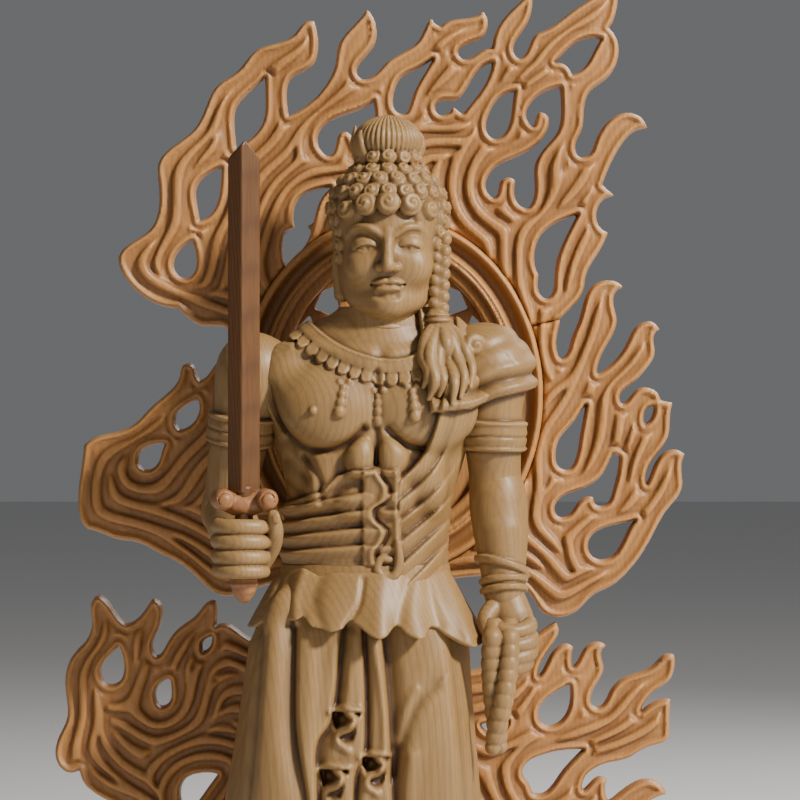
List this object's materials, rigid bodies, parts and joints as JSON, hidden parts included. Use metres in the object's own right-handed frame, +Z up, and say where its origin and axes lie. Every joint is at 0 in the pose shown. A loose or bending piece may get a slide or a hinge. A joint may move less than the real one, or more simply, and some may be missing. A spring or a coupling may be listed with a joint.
{
  "type": "carved guardian figure",
  "caption": "Carved wooden guardian standing on a rock with a sword and a rope, before a pierced flame ring; the sword and the flame ring lift off.",
  "frame": {"origin": "centre of the base's underside", "axes": "+Z up, the figure faces -Y, +X is the figure's left"},
  "size_m": [0.1618, 0.086, 0.3053],
  "materials": {
    "figure_wood": "pale boxwood, carved and lightly waxed, fine upright grain",
    "flame_wood": "warmer boxwood, carved and lightly waxed",
    "rock_wood": "boxwood, faceted with a gouge",
    "blade_wood": "dark red-brown hardwood, smooth",
    "guard_wood": "red-brown hardwood, smooth",
    "peg_wood": "plain turned peg"
  },
  "bodies": {
    "figure": {"arm_pegs": "peg_wood", "foot_pegs": "peg_wood", "head_block": "figure_wood", "left_foot": "figure_wood", "left_forearm": "figure_wood", "left_hand": "figure_wood", "left_upper_arm": "figure_wood", "right_foot": "figure_wood", "right_forearm": "figure_wood", "right_hand": "figure_wood", "right_upper_arm": "figure_wood", "rock_base": "rock_wood", "rope_coil": "figure_wood", "side_lock": "figure_wood", "skirt_block": "figure_wood", "sword_pommel": "blade_wood", "topknot": "figure_wood", "topknot_peg": "peg_wood", "torso_block": "figure_wood"},
    "sword": {"sword_blade": "blade_wood", "sword_guard": "guard_wood"},
    "mandorla": {"flame_crown": "flame_wood", "flame_lower_left": "flame_wood", "flame_lower_right": "flame_wood", "flame_middle_left": "flame_wood", "flame_middle_right": "flame_wood", "flame_pegs": "peg_wood", "halo_panel": "flame_wood", "halo_ring": "flame_wood", "mandorla_post": "flame_wood"}
  },
  "joints": [
    {"name": "sword_lift", "type": "slide", "parent": "figure", "child": "sword", "axis": [0, 0, 1], "range_m": [0, 0.012]},
    {"name": "mandorla_lift", "type": "slide", "parent": "figure", "child": "mandorla", "axis": [0, 0, 1], "range_m": [0, 0.016]}
  ]
}
